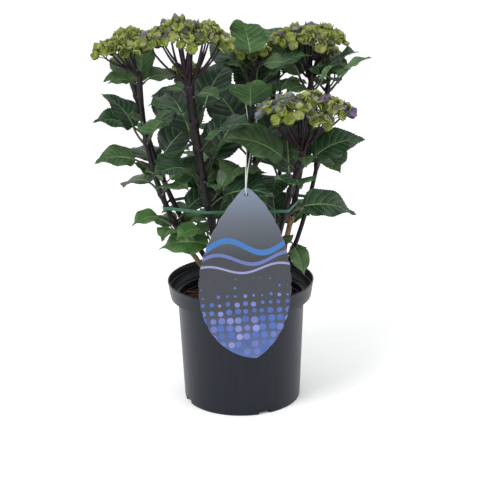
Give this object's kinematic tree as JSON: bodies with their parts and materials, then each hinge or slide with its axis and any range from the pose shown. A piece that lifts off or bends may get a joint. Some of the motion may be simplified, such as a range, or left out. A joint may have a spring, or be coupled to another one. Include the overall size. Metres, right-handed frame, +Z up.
{
  "type": "potted hydrangea shrub",
  "caption": "Young hydrangea shrub with dark canes, broad opposite leaves and flat heads of small green flowers, in a round nursery pot with a hanging card.",
  "frame": {"origin": "centre of the flat underside of the pot, on the surface that it stands on", "axes": "+Z up along the canes; -Y towards the front, where the card hangs; +X to the right seen from the front"},
  "size_m": [0.4003, 0.3087, 0.5776],
  "materials": {
    "pot_plastic": "satin moulded plastic, near black with a blue cast",
    "peat": "crumbly dark brown potting peat",
    "cane_bark": "smooth dark purple young bark, brown and woody at the foot",
    "leaf": "dark green leaf with a soft sheen, paler veins and underside",
    "floret": "lime green sepals tinged purple at their edges",
    "card_print": "printed plastic card in grey, slate and blue",
    "loop_plastic": "thin white plastic loop",
    "band_plastic": "soft teal green plastic band"
  },
  "bodies": {
    "root": {"band": "band_plastic", "cane_back": "cane_bark", "cane_back_left": "cane_bark", "cane_back_right": "cane_bark", "cane_centre": "cane_bark", "cane_centre_left": "cane_bark", "cane_far_left": "cane_bark", "cane_far_right": "cane_bark", "cane_front_right": "cane_bark", "cane_left": "cane_bark", "cane_right": "cane_bark", "card": "card_print", "card_loop": "loop_plastic", "flower_head_back_left": "floret", "flower_head_back_right": "floret", "flower_head_centre": "floret", "flower_head_centre_left": "floret", "flower_head_far_left": "floret", "flower_head_far_right": "floret", "flower_head_front_right": "floret", "flower_head_left": "floret", "flower_head_right": "floret", "leaves_back_1": "leaf", "leaves_back_2": "leaf", "leaves_back_left_1": "leaf", "leaves_back_left_2": "leaf", "leaves_back_left_3": "leaf", "leaves_back_left_4": "leaf", "leaves_back_right_1": "leaf", "leaves_back_right_2": "leaf", "leaves_back_right_3": "leaf", "leaves_back_right_4": "leaf", "leaves_centre_1": "leaf", "leaves_centre_2": "leaf", "leaves_centre_3": "leaf", "leaves_centre_4": "leaf", "leaves_centre_5": "leaf", "leaves_centre_left_1": "leaf", "leaves_centre_left_2": "leaf", "leaves_centre_left_3": "leaf", "leaves_centre_left_4": "leaf", "leaves_centre_left_5": "leaf", "leaves_far_left_1": "leaf", "leaves_far_left_2": "leaf", "leaves_far_left_3": "leaf", "leaves_far_right_1": "leaf", "leaves_far_right_2": "leaf", "leaves_front_right_1": "leaf", "leaves_front_right_2": "leaf", "leaves_front_right_3": "leaf", "leaves_front_right_4": "leaf", "leaves_left_1": "leaf", "leaves_left_2": "leaf", "leaves_left_3": "leaf", "leaves_left_4": "leaf", "leaves_right_1": "leaf", "leaves_right_2": "leaf", "pot": "pot_plastic", "soil": "peat"}
  },
  "joints": []
}
